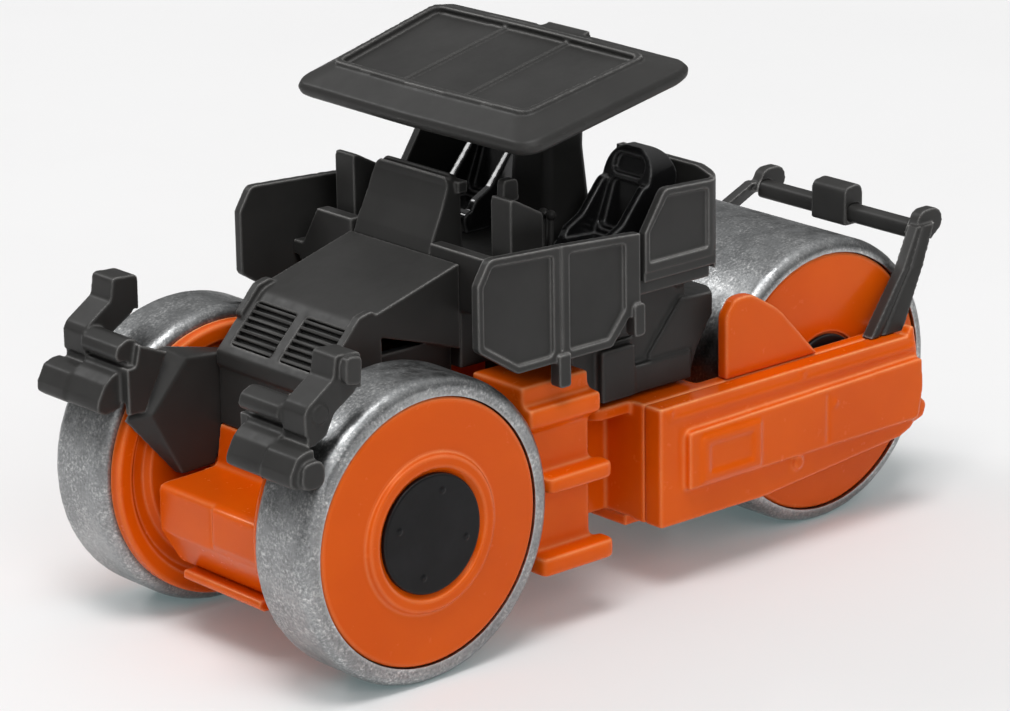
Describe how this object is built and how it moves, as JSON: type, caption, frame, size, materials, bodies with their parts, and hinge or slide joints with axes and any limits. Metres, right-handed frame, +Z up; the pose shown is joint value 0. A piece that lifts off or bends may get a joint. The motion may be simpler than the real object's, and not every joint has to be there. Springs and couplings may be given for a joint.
{
  "type": "toy road roller",
  "caption": "Pocket-size articulated toy road roller with metal drums, an orange frame, a dark hood, an open operator platform and a tilted canopy.",
  "frame": {"origin": "on the ground, midway along the overall length and on the centre plane", "axes": "+X forward to the two narrow front drums, +Y to the roller's left, +Z up"},
  "size_m": [0.0745, 0.0324, 0.0437],
  "materials": {
    "drum_metal": "cast, rolled skin",
    "axle_steel": "plain",
    "orange_plastic": "soft gloss",
    "dark_plastic": "satin",
    "black_gloss_plastic": "gloss",
    "hub_black": "satin"
  },
  "bodies": {
    "front_frame": {"canopy_column": "dark_plastic", "canopy_roof": "dark_plastic", "console_left": "dark_plastic", "console_right": "dark_plastic", "control_levers": "dark_plastic", "dash": "dark_plastic", "deck": "dark_plastic", "front_base_plate": "orange_plastic", "front_base_rivets": "axle_steel", "front_frame": "orange_plastic", "grille_left": "dark_plastic", "grille_right": "dark_plastic", "headlamps_left": "dark_plastic", "headlamps_right": "dark_plastic", "hood": "dark_plastic", "lamp_bracket_left": "dark_plastic", "lamp_bracket_right": "dark_plastic", "mirror_left": "dark_plastic", "mirror_right": "dark_plastic", "pivot_pin": "axle_steel", "rear_cover": "dark_plastic", "seat_guard_left": "dark_plastic", "seat_guard_right": "dark_plastic", "seat_left": "black_gloss_plastic", "seat_right": "black_gloss_plastic", "side_panel_left": "dark_plastic", "side_panel_right": "dark_plastic", "steering_column": "black_gloss_plastic", "steering_wheel": "black_gloss_plastic", "steps_left": "orange_plastic", "steps_right": "orange_plastic", "upper_lamp_left": "dark_plastic", "upper_lamp_right": "dark_plastic"},
    "front_drums": {"front_axle": "axle_steel", "front_drum_ring_left": "drum_metal", "front_drum_ring_right": "drum_metal", "front_drum_core_left": "orange_plastic", "front_drum_core_right": "orange_plastic", "front_hub_cap_left": "hub_black", "front_hub_cap_right": "hub_black"},
    "rear_frame": {"rear_frame": "orange_plastic", "rear_base_plate": "orange_plastic", "rear_base_rivets": "axle_steel", "side_tank_left": "orange_plastic", "side_tank_right": "orange_plastic", "drum_guard_left": "orange_plastic", "drum_guard_right": "orange_plastic", "handle_bar": "dark_plastic", "handle_post_left": "dark_plastic", "handle_post_right": "dark_plastic", "handle_block": "dark_plastic"},
    "rear_drum": {"rear_axle": "axle_steel", "rear_drum_ring": "drum_metal", "rear_drum_disc_left": "orange_plastic", "rear_drum_disc_right": "orange_plastic", "rear_hub_cap_left": "hub_black", "rear_hub_cap_right": "hub_black"}
  },
  "joints": [
    {"name": "front_drums_roll", "type": "hinge", "parent": "front_frame", "child": "front_drums", "pos_m": [0.0243, 0, 0.012], "axis": [0, 1, 0], "continuous": true},
    {"name": "frame_steer", "type": "hinge", "parent": "front_frame", "child": "rear_frame", "pos_m": [0.0033, 0, 0.0095], "axis": [0, 0, 1], "range_deg": [-15, 15]},
    {"name": "rear_drum_roll", "type": "hinge", "parent": "rear_frame", "child": "rear_drum", "pos_m": [-0.0227, 0, 0.012], "axis": [0, 1, 0], "continuous": true}
  ]
}
